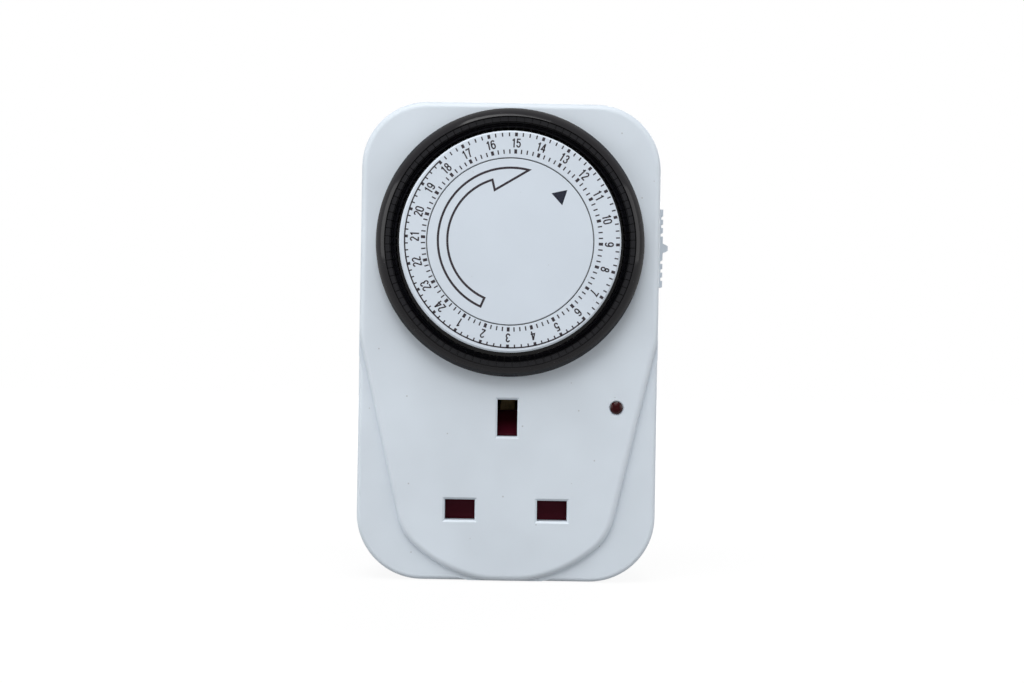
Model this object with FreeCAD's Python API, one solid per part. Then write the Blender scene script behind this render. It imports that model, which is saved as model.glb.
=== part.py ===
import FreeCAD, Part
import math
import os

V = FreeCAD.Vector

# Plug-in timer with a 24 hour dial, for a three-pin wall socket.
# Sizes are in millimetres. The part is drawn lying on its back: x runs to the right,
# y runs up the front and z comes out of the wall. The origin is on the rear face,
# midway between the line and neutral pins. The last step stands the part up.

# How far a cutting shape reaches past the face that it opens
overshoot = 1.0

# Case
case_below_pins = 17.05
case_beside_dial = 3.9
case_above_dial = 1.7
case_depth = 38.0
corner_radius = 15.8
wall = 2.2
split_level = 13.0
lip_height = 2.0
lip_clearance = 0.1
front_rounding = 1.5
shelf_rounding = 1.0
joint_chamfer = 0.4
rear_chamfer = 1.2

# Raised tongue-shaped panel
shelf_step = 1.5
tongue_start_y = 41.2
tongue_slope = 12.9
tongue_nose_drop = 11.88
tongue_corner_radius = 14.0
tongue_nose_overshoot = 0.25
tongue_easing = 18.0

# Plug and socket pattern
pin_pitch = 22.2
line_pin_width = 6.35
pin_thickness = 3.97
line_pin_length = 17.7
earth_pin_height = 7.92
earth_pin_length = 22.7
sleeve_length = 9.5
sleeve_wall = 0.55
pin_tip_chamfer = 0.8
pin_flange = 1.3
pin_flange_thickness = 1.6
stud_side = 3.0
line_slot_width = 7.25
line_slot_height = 4.95
earth_slot_width = 4.85
earth_slot_height = 8.9
slot_bevel = 0.5
shroud_depth = 4.6
shroud_wall = 1.5

# Dial
dial_above_slot = 5.55
rim_width = 2.15
rim_gap = 0.5
rim_lip = 2.5
rim_height = 5.2
rim_bulge = 0.2
rim_top_width = 0.1
tappet_depth = 2.4
tappet_side_clearance = 0.2
tappet_land_height = 5.0
tappet_land_width = 1.0
ridge_drop = 0.7
ridge_height = 0.5
ridge_width = 0.5
tappet_gap = 0.15
tappet_leg_width = 1.0
tappet_leg_depth = 1.15
tappet_hook = 0.5
tappet_travel = 2.2
tappet_stop_gap = 0.2
hook_gap = 0.3
hook_height = 2.1
tappets_per_hour = 4
hours = 24
web_above_front = 0.6
web_thickness = 1.2
slot_clearance = 0.15
skirt_wall = 1.0
hook_side_clearance = 0.8
panel_hole_clearance = 0.4
centre_disc_radius = 19.65
disc_groove = 0.3
groove_depth = 0.35
groove_ledge = 0.7
ledge_thickness = 0.4
disc_lip = 0.25
number_ring_width = 6.35
number_ring_thickness = 1.2
number_ring_height = 7.2
ring_edge_chamfer = 0.4
groove_chamfer = 0.08
tappet_ring_gap = 1.05
drum_wall = 1.1
drum_groove_inset = 0.15
bearing_radius = 9.0
bearing_clearance = 0.05
bearing_length = 4.0
bearing_wall = 3.0
thrust_gap = 0.1
thrust_width = 2.0
hub_foot_radius = 11.0
hub_foot_height = 1.5
hub_waist_radius = 7.6
disc_stem_radius = 5.0
disc_stem_length = 6.0
stem_clearance = 0.03
triangle_angle = 47.5
hour_15_angle = 1.9

# Gear train: the motor pinion drives the idler wheel, whose pinion drives the dial
ring_gear_wall = 0.31
ring_teeth = 96
idler_pinion_teeth = 12
wheel_module = 0.5
wheel_teeth = 30
motor_pinion_teeth = 10
addendum_share = 0.8
dedendum_share = 1.15
tooth_share = 0.40
tooth_tip_share = 0.20
gear_width = 3.0
gear_foot_gap = 0.4
wheel_gap = 0.6
wheel_width = 1.5
plate_gap = 0.8
arbor_radius = 1.0
arbor_clearance = 0.05
arbor_head_radius = 1.7
collar_radius = 2.0
motor_shaft_radius = 1.0
pinion_end_gap = 0.2

# Movement plate and motor
plate_thickness = 1.7
plate_side_gap = 1.8
plate_below_idler = 2.1
plate_top_gap = 2.9
plate_corner_radius = 9.0
motor_radius = 18.0
motor_depth = 13.0
motor_offset = 8.5
flange_thickness = 1.0
flange_rim = 0.6
flange_ear = 4.4
flange_ear_width = 7.0
lead_block_reach = 2.0
lead_block_half = 5.0
lead_block_height = 5.0
lead_spread = 2.5
lead_run = 1.1

# Snap switch under the follower lever
switch_length = 19.8
switch_width = 6.4
switch_height = 10.2
switch_to_nose = 5.75
switch_above_plate = 1.3
plunger_length = 2.4
plunger_width = 1.8
plunger_height = 1.1
plunger_clearance = 0.1
terminal_width = 3.2
terminal_thickness = 0.5
terminal_length = 6.0
terminal_spread = 7.0
pivot_to_switch = 6.0
lever_thickness = 1.2
lever_width = 5.0
lever_gap = 0.15
lever_nose_inset = 0.4
lever_nose_length = 3.0
lever_tail = 1.9
lever_nose_width = 1.1
lever_nose_gap = 0.3
lever_boss_radius = 1.9
pivot_radius = 0.8
pivot_clearance = 0.05
ear_thickness = 1.2
ear_gap = 0.25

# Fasteners
screw_radius = 1.25
screw_length = 18.0
screw_head_radius = 2.6
screw_head_height = 1.7
screw_clearance = 0.2
drive_reach = 1.55
drive_width = 0.7
screw_recess = 7.0
screw_inset = 8.4
column_radius = 3.4
column_waist = 2.6
fit_gap = 0.05
plate_screw_radius = 1.1
plate_screw_length = 6.0
screw_end_gap = 1.0
plate_screw_side = 3.4
plate_screw_rise = 4.0

# Shutter behind the apertures
shutter_gap = 0.3
shutter_thickness = 1.5
shutter_overlap = 1.0
shutter_stem_margin = 0.9
ramp_foot_inset = 0.6
ramp_share = 0.67
ramp_drop = 5.8
guide_thickness = 1.4
guide_gap = 0.25
guide_start_y = 5.2
guide_end_y = 14.5
spring_radius = 1.9
spring_wire = 0.6
spring_turns = 6
spring_sides = 10
spring_seat_gap = 0.15

# Contacts and their carrier
carrier_level = 8.5
carrier_base = 3.5
carrier_margin = 6.8
carrier_foot_radius = 1.6
tower_wall = 1.4
tower_gap = 0.25
contact_thickness = 0.6
contact_grip = 0.13
contact_flare = 0.8
contact_flare_height = 2.0
contact_lip = 0.3
contact_headroom = 2.6
earth_contact_drop = 8.0
bar_level = 7.0
bar_thickness = 0.6
bar_width = 4.0
branch_gap = 1.0
neutral_strip_side = 14.0

# Override slider on the right wall
slider_length = 19.3
slider_above_axis = 0.1
slider_level = 19.0
slider_width = 7.0
slider_thickness = 1.75
slider_wall_gap = 0.1
slider_block = 5.9
slider_gap_length = 0.9
slider_gap_depth = 0.55
slider_nub = 2.4
slider_nub_height = 1.25
slider_travel = 5.0
slider_stem_length = 4.0
slider_stem_width = 3.0
slider_foot_thickness = 1.0
slider_foot_length = 6.0
slider_foot_width = 6.4
serration_pitch = 2.05
serration_width = 0.9
serration_depth = 0.45
bridge_thickness = 0.4
bridge_width = 2.6
bridge_gap = 0.1
bridge_clear = 1.4

# Neon indicator
lamp_inset = 9.8
lamp_above_earth = 2.9
lens_radius = 1.5
lens_proud = 0.6
lens_flange_radius = 2.4
lens_flange_thickness = 0.9
lens_recess = 0.3
neon_radius = 2.0
neon_rounding = 1.6
neon_length = 11.0
resistor_radius = 1.2
resistor_length = 6.3
lead_radius = 0.3
lead_drop = 3.0
wire_radius = 0.6

# Levels and radii that follow from the sizes above
front = case_depth
ceiling = front - wall
shelf_level = front - shelf_step
shelf_ceiling = shelf_level - wall
earth_y = pin_pitch
line_x = pin_pitch / 2
number_ring_inner = centre_disc_radius + disc_groove
number_ring_outer = number_ring_inner + number_ring_width
ledge_radius = number_ring_inner - groove_ledge
tappet_inner_radius = number_ring_outer + tappet_ring_gap
tappet_outer_radius = tappet_inner_radius + tappet_depth
rim_inner_radius = tappet_outer_radius + tappet_side_clearance
rim_base_radius = rim_inner_radius + rim_width
dial_axis_y = earth_y + earth_slot_height / 2 + dial_above_slot + rim_base_radius
half_width = rim_base_radius + case_beside_dial
bottom_y = -case_below_pins
top_y = dial_axis_y + rim_base_radius + case_above_dial
inner_half_width = half_width - wall
web_top = front + web_above_front
web_bottom = web_top - web_thickness
head_bottom = web_top + tappet_travel + tappet_stop_gap
hook_top = web_bottom - hook_gap
foot_bottom = hook_top - hook_height
pushed_foot = foot_bottom - tappet_travel
gear_top = pushed_foot - gear_foot_gap
gear_bottom = gear_top - gear_width
wheel_top = gear_bottom - wheel_gap
wheel_bottom = wheel_top - wheel_width
plate_top = wheel_bottom - plate_gap
plate_bottom = plate_top - plate_thickness
motor_bottom = plate_bottom - flange_thickness - motor_depth
leg_outer_radius = tappet_inner_radius + tappet_leg_depth
hook_radius = leg_outer_radius + tappet_hook
skirt_inner_radius = hook_radius + hook_side_clearance
skirt_outer_radius = skirt_inner_radius + skirt_wall
panel_hole_radius = skirt_outer_radius + panel_hole_clearance
ring_module = 2 * (skirt_inner_radius - ring_gear_wall) / (ring_teeth + 2 * dedendum_share)
ring_pitch_radius = ring_module * ring_teeth / 2
idler_pinion_radius = ring_module * idler_pinion_teeth / 2
wheel_pitch_radius = wheel_module * wheel_teeth / 2
motor_pinion_pitch_radius = wheel_module * motor_pinion_teeth / 2
idler_y = dial_axis_y - ring_pitch_radius + idler_pinion_radius
motor_shaft_y = idler_y + wheel_pitch_radius + motor_pinion_pitch_radius
motor_y = motor_shaft_y + motor_offset
flange_radius = motor_radius + flange_rim
flange_ear_reach = flange_radius + flange_ear
dial_face = front + number_ring_height
ring_underside = dial_face - number_ring_thickness
bearing_bottom = web_top - bearing_length + web_thickness
bearing_top = bearing_bottom + bearing_length
switch_top = plate_top + switch_above_plate
switch_bottom = switch_top - switch_height
lever_bottom = switch_top + plunger_height + lever_gap
lever_top = lever_bottom + lever_thickness
lever_nose_top = pushed_foot - lever_nose_gap
hour_step = 360.0 / hours
tappet_step = hour_step / tappets_per_hour
lever_nose_radius = tappet_inner_radius + lever_nose_inset
switch_radius_from_axis = lever_nose_radius - switch_to_nose
lever_pivot_radius = switch_radius_from_axis - pivot_to_switch
shroud_end = front - shroud_depth
shutter_top = shroud_end - shutter_gap
shutter_bottom = shutter_top - shutter_thickness
ramp_foot_y = earth_y - earth_slot_height / 2 + ramp_foot_inset
ramp_top_y = earth_y - earth_slot_height / 2 + earth_slot_height * ramp_share
carrier_top = carrier_level + carrier_base
line_contact_top = shutter_bottom - contact_headroom
earth_contact_top = line_contact_top - earth_contact_drop
plate_half_width = inner_half_width - plate_side_gap
plate_bottom_y = idler_y - plate_below_idler
plate_top_y = top_y - wall - plate_top_gap
plate_screw_x = plate_half_width - plate_screw_side
plate_screw_y = plate_bottom_y + plate_screw_rise
neutral_strip_x = half_width - neutral_strip_side
neutral_strip_end = motor_y - motor_radius - lead_block_reach - lead_run
slider_centre_y = dial_axis_y + slider_above_axis
lamp_x = half_width - lamp_inset
lamp_y = earth_y + lamp_above_earth
column_x = half_width - screw_inset
column_top_y = top_y - screw_inset
column_bottom_y = bottom_y + screw_inset
ring_root_radius = ring_pitch_radius + dedendum_share * ring_module
pivot_level = (lever_bottom + lever_top) / 2
terminal_bottom = switch_bottom - terminal_length
strip_x = (inner_half_width - slider_wall_gap - slider_foot_thickness - bridge_thickness
           - bridge_gap - bar_thickness)
bridge_end_y = slider_centre_y - bridge_width / 2 - bridge_clear
branch_x = flange_radius + bar_width / 2 + branch_gap
spring_level = (shutter_top + shutter_bottom) / 2
resistor_level = carrier_top + 2 * contact_thickness
carrier_end_y = earth_y + carrier_margin + carrier_foot_radius


def box(x0, x1, y0, y1, z0, z1):
    return Part.makeBox(x1 - x0, y1 - y0, z1 - z0, V(x0, y0, z0))


def rod(radius, z0, z1, x=0.0, y=0.0):
    return Part.makeCylinder(radius, z1 - z0, V(x, y, z0))


def tube(outer, inner, z0, z1, x=0.0, y=0.0):
    return rod(outer, z0, z1, x, y).cut(rod(inner, z0, z1, x, y))


def prism(points, z0, z1):
    corners = [V(x, y, z0) for x, y in points]
    face = Part.Face(Part.makePolygon(corners + corners[:1]))
    return face.extrude(V(0, 0, z1 - z0))


def side_prism(points, x0, x1):
    # points are (y, z) pairs of a section that is the same all along x
    corners = [V(x0, y, z) for y, z in points]
    face = Part.Face(Part.makePolygon(corners + corners[:1]))
    return face.extrude(V(x1 - x0, 0, 0))


def turned(points, y=0.0):
    # points are (radius, z) pairs of a section that turns about an axis at height y
    corners = [V(r, 0, z) for r, z in points]
    face = Part.Face(Part.makePolygon(corners + corners[:1]))
    solid = face.revolve(V(0, 0, 0), V(0, 0, 1), 360)
    solid.translate(V(0, y, 0))
    return solid


def spun(shape, degrees_clockwise, x=0.0, y=0.0):
    copy = shape.copy()
    copy.rotate(V(x, y, 0), V(0, 0, 1), -degrees_clockwise)
    return copy


def fused(shapes):
    return shapes[0].multiFuse(shapes[1:]).removeSplitter() if len(shapes) > 1 else shapes[0]


def upright_edges(shape):
    return [edge for edge in shape.Edges if isinstance(edge.Curve, Part.Line)
            and edge.BoundBox.XLength < 1e-4 and edge.BoundBox.YLength < 1e-4]


def rounded_block(half, y0, y1, radius, z0, z1):
    block = box(-half, half, y0, y1, z0, z1)
    return block.makeFillet(radius, upright_edges(block))


def edges_at(shape, level):
    return [edge for edge in shape.Edges
            if abs(edge.BoundBox.ZMin - level) < 1e-4 and edge.BoundBox.ZLength < 1e-4]


def case_block(inset, z0, z1):
    return rounded_block(half_width - inset, bottom_y + inset, top_y - inset,
                         corner_radius - inset, z0, z1)


def tongue_block(inset, z0, z1):
    # The panel keeps the full width above tongue_start_y. Below it the sides draw in
    # along a straight slope, round a corner and meet the wide arc of the nose.
    slope = math.radians(tongue_slope)
    end_y = bottom_y - tongue_nose_overshoot

    def half_at(y):
        return half_width - inset / math.cos(slope) - (tongue_start_y - y) * math.tan(slope)

    corner = half_width - (tongue_start_y - end_y - tongue_nose_drop) * math.tan(slope)
    nose_radius = (corner ** 2 + tongue_nose_drop ** 2) / (2 * tongue_nose_drop)
    nose_y = end_y + nose_radius

    wedge = prism([(-half_at(end_y), end_y), (half_at(end_y), end_y),
                   (half_at(top_y), top_y), (-half_at(top_y), top_y)], z0, z1)
    nose = rod(nose_radius - inset, z0, z1, 0.0, nose_y)
    lower = wedge.common(nose.fuse(box(-2 * half_width, 2 * half_width, nose_y, top_y, z0, z1)))
    corners = [edge for edge in upright_edges(lower) if edge.BoundBox.YMax < tongue_corner_radius]
    lower = lower.makeFillet(tongue_corner_radius - inset, corners)
    whole = lower.common(case_block(inset, z0, z1)).Solids[0]
    # The shallow corners at the start and at the nose are eased into the case's walls
    kinks = [edge for edge in upright_edges(whole)
             if abs(edge.BoundBox.YMin - tongue_start_y) < half_width / 6
             or (abs(edge.BoundBox.YMin - bottom_y - inset) < 1e-3
                 and abs(edge.BoundBox.XMin) < half_width / 2)]
    return whole.makeFillet(tongue_easing, kinks)


def finish(name, shape):
    upright = shape.copy()
    upright.rotate(V(0, 0, 0), V(1, 0, 0), 90)
    upright.exportStep("parts/" + name + ".step")


def column_places():
    return [(side * column_x, y) for side in (-1, 1) for y in (column_bottom_y, column_top_y)]


def line_slots(margin, z0, z1):
    slots = []
    for side in (-1, 1):
        slots.append(box(side * line_x - line_slot_width / 2 - margin,
                         side * line_x + line_slot_width / 2 + margin,
                         -line_slot_height / 2 - margin, line_slot_height / 2 + margin, z0, z1))
    return slots


def earth_slot(margin, z0, z1):
    return box(-earth_slot_width / 2 - margin, earth_slot_width / 2 + margin,
               earth_y - earth_slot_height / 2 - margin,
               earth_y + earth_slot_height / 2 + margin, z0, z1)


def bevel_cut(x, y, width, height):
    # A shallow pyramid that takes the sharp edge off an aperture
    def loop(grow, level):
        w = width / 2 + grow
        h = height / 2 + grow
        corners = [V(x - w, y - h, level), V(x + w, y - h, level),
                   V(x + w, y + h, level), V(x - w, y + h, level)]
        return Part.makePolygon(corners + corners[:1])
    return Part.makeLoft([loop(0.0, front - slot_bevel), loop(slot_bevel, front)], True, True)


def front_shell():
    base = case_block(0.0, split_level, shelf_level)
    softened = base.makeFillet(shelf_rounding, edges_at(base, shelf_level))
    rounding = base.cut(softened).cut(tongue_block(-shelf_rounding, 0.0, front))
    raised = tongue_block(0.0, shelf_level - wall, front)
    raised = raised.makeFillet(front_rounding, edges_at(raised, front))
    outer = base.cut(rounding).fuse(raised)
    hollow = case_block(wall, split_level - lip_height, shelf_ceiling)
    raised_hollow = tongue_block(wall, shelf_ceiling - wall, ceiling)
    lip = case_block(wall / 2, split_level - lip_height, split_level)
    return fused([outer, lip]).cut(hollow).cut(raised_hollow)


def front_cover():
    shell = front_shell()
    additions = []
    for slot in line_slots(shroud_wall, shroud_end, ceiling + wall / 2):
        additions.append(slot)
    additions.append(earth_slot(shroud_wall, shroud_end, ceiling + wall / 2))
    for x, y in column_places():
        roof = (ceiling if y > tongue_start_y else shelf_ceiling) + wall / 2
        if y > tongue_start_y:
            additions.append(rod(column_radius, plate_top, roof, x, y))
            additions.append(rod(column_waist, split_level, plate_top, x, y))
        else:
            additions.append(rod(column_radius, split_level, roof, x, y))
    for side in (-1, 1):
        additions.append(rod(column_waist, plate_top, ceiling + wall / 2,
                             side * plate_screw_x, plate_screw_y))
        guide_x = earth_slot_width / 2 + shutter_stem_margin + guide_gap
        guide = box(guide_x, guide_x + guide_thickness, guide_start_y, guide_end_y,
                    shutter_bottom, ceiling + wall / 2)
        additions.append(guide if side > 0 else guide.mirror(V(0, 0, 0), V(1, 0, 0)))
    shell = fused([shell] + additions)
    cuts = line_slots(0.0, split_level, front + overshoot)
    cuts.append(earth_slot(0.0, split_level, front + overshoot))
    for side in (-1, 1):
        cuts.append(bevel_cut(side * line_x, 0.0, line_slot_width, line_slot_height))
        cuts.append(rod(plate_screw_radius, plate_top,
                        plate_bottom + plate_screw_length + screw_end_gap,
                        side * plate_screw_x, plate_screw_y))
    cuts.append(bevel_cut(0.0, earth_y, earth_slot_width, earth_slot_height))
    cuts.append(rod(panel_hole_radius, ceiling - overshoot, front + overshoot, 0.0, dial_axis_y))
    cuts.append(rod(lens_radius + fit_gap, ceiling - overshoot, front + overshoot, lamp_x, lamp_y))
    cuts.append(rod(lens_radius + lens_recess, front - lens_recess, front + overshoot,
                    lamp_x, lamp_y))
    for x, y in column_places():
        cuts.append(rod(screw_radius + fit_gap, split_level,
                        screw_recess + screw_length + screw_end_gap, x, y))
    cuts.append(slider_slot())
    return shell.cut(Part.makeCompound(cuts))


def slider_slot():
    length = slider_stem_length / 2 + 2 * guide_gap
    height = slider_stem_width / 2 + guide_gap
    return box(inner_half_width - overshoot, half_width + overshoot,
               slider_centre_y - slider_travel - length, slider_centre_y + length,
               slider_level - height, slider_level + height)


def pin_places():
    # x, y, size across, size up
    return {
        "line": (line_x, 0.0, line_pin_width, pin_thickness),
        "neutral": (-line_x, 0.0, line_pin_width, pin_thickness),
        "earth": (0.0, earth_y, pin_thickness, earth_pin_height),
    }


def rear_cover():
    outer = case_block(0.0, 0.0, split_level)
    outer = outer.makeChamfer(rear_chamfer, edges_at(outer, 0.0))
    outer = outer.makeChamfer(joint_chamfer, edges_at(outer, split_level))
    hollow = case_block(wall, wall, split_level)
    rebate = case_block(wall / 2 - lip_clearance, split_level - lip_height - lip_clearance,
                        split_level)
    shell = outer.cut(hollow).cut(rebate)
    additions = [rod(column_radius + wall / 2, wall / 2, split_level, x, y)
                 for x, y in column_places()]
    for x, y in carrier_feet():
        additions.append(rod(carrier_foot_radius, wall / 2, carrier_level, x, y))
    shell = fused([shell] + additions)
    # The posts in the corners stay inside the lip of the front cover
    trim = case_block(wall / 2, split_level - lip_height - lip_clearance, split_level)
    trim = trim.cut(case_block(wall + lip_clearance, split_level - lip_height - lip_clearance,
                               split_level))
    shell = shell.cut(trim)
    cuts = []
    for x, y in column_places():
        cuts.append(rod(screw_head_radius + screw_clearance, 0.0, screw_recess, x, y))
        cuts.append(rod(screw_radius + screw_clearance, 0.0, split_level, x, y))
    for x, y, width, height in pin_places().values():
        cuts.append(box(x - width / 2 - fit_gap, x + width / 2 + fit_gap,
                        y - height / 2 - fit_gap, y + height / 2 + fit_gap, 0.0, wall))
    return shell.cut(Part.makeCompound(cuts))


def case_screws():
    screws = []
    for x, y in column_places():
        head = rod(screw_head_radius, screw_recess - screw_head_height, screw_recess, x, y)
        shank = rod(screw_radius, screw_recess, screw_recess + screw_length, x, y)
        drive = box(x - drive_reach, x + drive_reach, y - drive_width / 2, y + drive_width / 2,
                    screw_recess - screw_head_height, screw_recess - screw_head_height / 2)
        screws.append(head.fuse(shank).cut(drive).cut(spun(drive, 90, x, y)))
    return Part.makeCompound(screws)


def pin_solid(x, y, width, height, length, stud_top, sleeved):
    tip = box(x - width / 2, x + width / 2, y - height / 2, y + height / 2, -length, wall)
    tip = tip.makeChamfer(pin_tip_chamfer, edges_at(tip, -length))
    if sleeved:
        band = box(x - width, x + width, y - height, y + height, -sleeve_length, wall)
        core = box(x - width / 2 + sleeve_wall, x + width / 2 - sleeve_wall,
                   y - height / 2 + sleeve_wall, y + height / 2 - sleeve_wall,
                   -sleeve_length, wall)
        tip = tip.cut(band).fuse(core)
    flange = box(x - width / 2 - pin_flange, x + width / 2 + pin_flange,
                 y - height / 2 - pin_flange, y + height / 2 + pin_flange,
                 wall, wall + pin_flange_thickness)
    stud = box(x - stud_side / 2, x + stud_side / 2, y - stud_side / 2, y + stud_side / 2,
               wall + pin_flange_thickness, stud_top)
    return fused([tip, flange, stud])


def pin_sleeves():
    sleeves = []
    for name in ("line", "neutral"):
        x, y, width, height = pin_places()[name]
        outer = box(x - width / 2, x + width / 2, y - height / 2, y + height / 2,
                    -sleeve_length, wall)
        core = box(x - width / 2 + sleeve_wall, x + width / 2 - sleeve_wall,
                   y - height / 2 + sleeve_wall, y + height / 2 - sleeve_wall,
                   -sleeve_length, wall)
        sleeves.append(outer.cut(core))
    return Part.makeCompound(sleeves)


def carrier_feet():
    x = line_x + carrier_margin - carrier_foot_radius
    y_low = -carrier_margin + carrier_foot_radius
    y_high = earth_y + earth_pin_height / 2 + carrier_foot_radius
    return [(-x, y_low), (x, y_low), (-x, y_high), (x, y_high)]


def contact_carrier():
    half = line_x + carrier_margin
    top = earth_y + carrier_margin
    solids = [box(-half, half, -carrier_margin, top + carrier_foot_radius,
                  carrier_level, carrier_top)]
    holes = []
    for name, (x, y, width, height) in pin_places().items():
        tall = name == "earth"
        tower_top = earth_contact_top if tall else line_contact_top
        inner_w = width / 2 + tower_gap + (contact_thickness + contact_flare if tall else 0.0)
        inner_h = height / 2 + tower_gap + (0.0 if tall else contact_thickness + contact_flare)
        outer = box(x - inner_w - tower_wall, x + inner_w + tower_wall,
                    y - inner_h - tower_wall, y + inner_h + tower_wall, carrier_top, tower_top)
        holes.append(box(x - inner_w, x + inner_w, y - inner_h, y + inner_h,
                         carrier_top, tower_top))
        solids.append(outer)
        if name != "line":
            reach = stud_side / 2 + fit_gap
            holes.append(box(x - reach, x + reach, y - reach, y + reach,
                             carrier_level, carrier_top))
    # The strips leave the line and neutral towers through a notch in the outer wall
    notch = box(line_x + line_pin_width / 2, line_x + carrier_margin,
                -bar_width / 2 - fit_gap, bar_width / 2 + fit_gap,
                carrier_top, carrier_top + 2 * contact_thickness)
    holes.append(notch)
    holes.append(notch.mirror(V(0, 0, 0), V(1, 0, 0)))
    return fused(solids).cut(Part.makeCompound(holes))


def contact_leaf(gap, z_top):
    # Section (offset from the pin's middle, z) of one leaf, flared at its mouth
    near = gap / 2
    far = near + contact_thickness
    bend = z_top - contact_flare_height
    return [(near, carrier_top), (near, bend), (near + contact_flare, z_top - contact_lip),
            (far + contact_flare, z_top - contact_lip), (far, bend), (far, carrier_top)]


def spring_contact(x, y, gap, width, z_top, across):
    # Two leaves that grip the pin, joined by a floor. across is True where they grip in x.
    half = gap / 2 + contact_thickness
    leaf = side_prism(contact_leaf(gap, z_top), -width / 2, width / 2)
    other = leaf.mirror(V(0, 0, 0), V(0, 1, 0))
    floor = box(-width / 2, width / 2, -half, half, carrier_top, carrier_top + contact_thickness)
    whole = fused([leaf, other, floor])
    if across:
        whole.rotate(V(0, 0, 0), V(0, 0, 1), 90)
    whole.translate(V(x, y, 0))
    return whole


def pointer_direction():
    angle = math.radians(triangle_angle)
    return math.sin(angle), math.cos(angle)


def at_pointer(shape):
    # Moves a piece drawn beside the axis, on the line x = 0 above it, to the pointer's side
    copy = shape.copy()
    copy.translate(V(0, dial_axis_y, 0))
    return spun(copy, triangle_angle, 0.0, dial_axis_y)


def terminal_place(side):
    out_x, out_y = pointer_direction()
    return (switch_radius_from_axis * out_x + side * terminal_spread * out_y,
            dial_axis_y + switch_radius_from_axis * out_y - side * terminal_spread * out_x)


def line_contact():
    gap = pin_thickness - 2 * contact_grip
    clip = spring_contact(line_x, 0.0, gap, line_pin_width - 2 * tower_gap,
                          line_contact_top, False)
    end_x, end_y = terminal_place(1)
    half = bar_width / 2
    level = terminal_bottom - bar_thickness
    outer = strip_x + bar_thickness
    contact_low = slider_level - slider_foot_width / 2 + bar_thickness
    return fused([
        clip,
        box(line_x + line_pin_width / 2 - half, outer, -half, half,
            carrier_top, carrier_top + contact_thickness),
        box(strip_x, outer, -half, bridge_end_y, min(level, carrier_top),
            max(level + bar_thickness, carrier_top + half)),
        box(strip_x, outer, bridge_end_y - 2 * bar_width, bridge_end_y,
            level, contact_low + bridge_width),
        box(branch_x - half, outer, bridge_end_y - 3 * bar_width, bridge_end_y - 2 * bar_width,
            level, terminal_bottom),
        box(branch_x - half, branch_x + half, bridge_end_y - 3 * bar_width, end_y + half / 2,
            level, terminal_bottom),
        box(end_x - half, branch_x, end_y - half, end_y + half / 2, level, terminal_bottom),
    ])


def neutral_contact():
    gap = pin_thickness - 2 * contact_grip
    clip = spring_contact(-line_x, 0.0, gap, line_pin_width - 2 * tower_gap,
                          line_contact_top, False)
    half = bar_width / 2
    top = carrier_top + contact_thickness
    return fused([
        clip,
        box(-neutral_strip_x - half, -line_x - line_pin_width / 2 + half, -half, half,
            carrier_top, top),
        box(-neutral_strip_x - half, -neutral_strip_x + half, -half, neutral_strip_end,
            carrier_top, top),
    ])


def earth_contact():
    gap = pin_thickness - 2 * contact_grip
    return spring_contact(0.0, earth_y, gap, earth_pin_height - 2 * tower_gap,
                          earth_contact_top, True)


def live_bar():
    half = bar_width / 2
    top = bar_level + bar_thickness
    end_x, end_y = terminal_place(-1)
    run_x = branch_x + bar_width
    turn_y = slider_centre_y + slider_foot_length
    outer = strip_x + bar_thickness
    contact_high = slider_level + slider_foot_width / 2 - bar_thickness
    return fused([
        box(line_x - half, run_x + half, -half, half, bar_level, top),
        box(run_x - half, run_x + half, -half, turn_y + half, bar_level, top),
        box(run_x - half, outer, turn_y - half, turn_y + half, bar_level, top),
        box(strip_x, outer, turn_y - half, turn_y + half, bar_level, contact_high),
        box(strip_x, outer, bridge_end_y - 2 * bar_width, turn_y + half,
            contact_high - bridge_width, contact_high),
        box(end_x - half, run_x, end_y - half, end_y + half / 4, bar_level, top),
        box(run_x - half, run_x + half, turn_y - half, end_y + half / 4, bar_level, top),
        box(end_x - half / 2, end_x + half / 2, end_y - half / 2, end_y + half / 2,
            bar_level, terminal_bottom),
    ])


def rounded_section(points, arc_start, bulge):
    # A closed outline in the radius and height plane. Its side from arc_start bulges outward.
    corners = [V(r, 0, z) for r, z in points]
    edges = []
    for index, corner in enumerate(corners):
        following = corners[(index + 1) % len(corners)]
        if points[index] == arc_start:
            chord = following - corner
            outward = V(-chord.z, 0, chord.x) / chord.Length
            middle = (corner + following) / 2 - outward * bulge
            edges.append(Part.Arc(corner, middle, following).toShape())
        else:
            edges.append(Part.LineSegment(corner, following).toShape())
    return Part.Face(Part.Wire(edges))


def tooth_loop(pitch_radius, teeth, tip_radius, root_radius, first_angle, z):
    # A closed loop of straight-sided teeth round the origin. Each tooth is tooth_share of
    # the pitch wide at the pitch circle and tooth_tip_share at its tip.
    step = 2 * math.pi / teeth
    tip = step * tooth_tip_share / 2
    grow = (tooth_share - tooth_tip_share) * step / 2 / (tip_radius - pitch_radius)
    root = tip + grow * (tip_radius - root_radius)
    corners = []
    for index in range(teeth):
        middle = math.radians(first_angle) + index * step
        for angle, radius in ((middle - root, root_radius), (middle - tip, tip_radius),
                              (middle + tip, tip_radius), (middle + root, root_radius)):
            corners.append(V(radius * math.sin(angle), radius * math.cos(angle), z))
    return Part.makePolygon(corners + corners[:1])


def spur_gear(module, teeth, z0, z1, first_angle):
    pitch = module * teeth / 2
    loop = tooth_loop(pitch, teeth, pitch + addendum_share * module,
                      pitch - dedendum_share * module, first_angle, z0)
    return Part.Face(loop).extrude(V(0, 0, z1 - z0))


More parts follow.
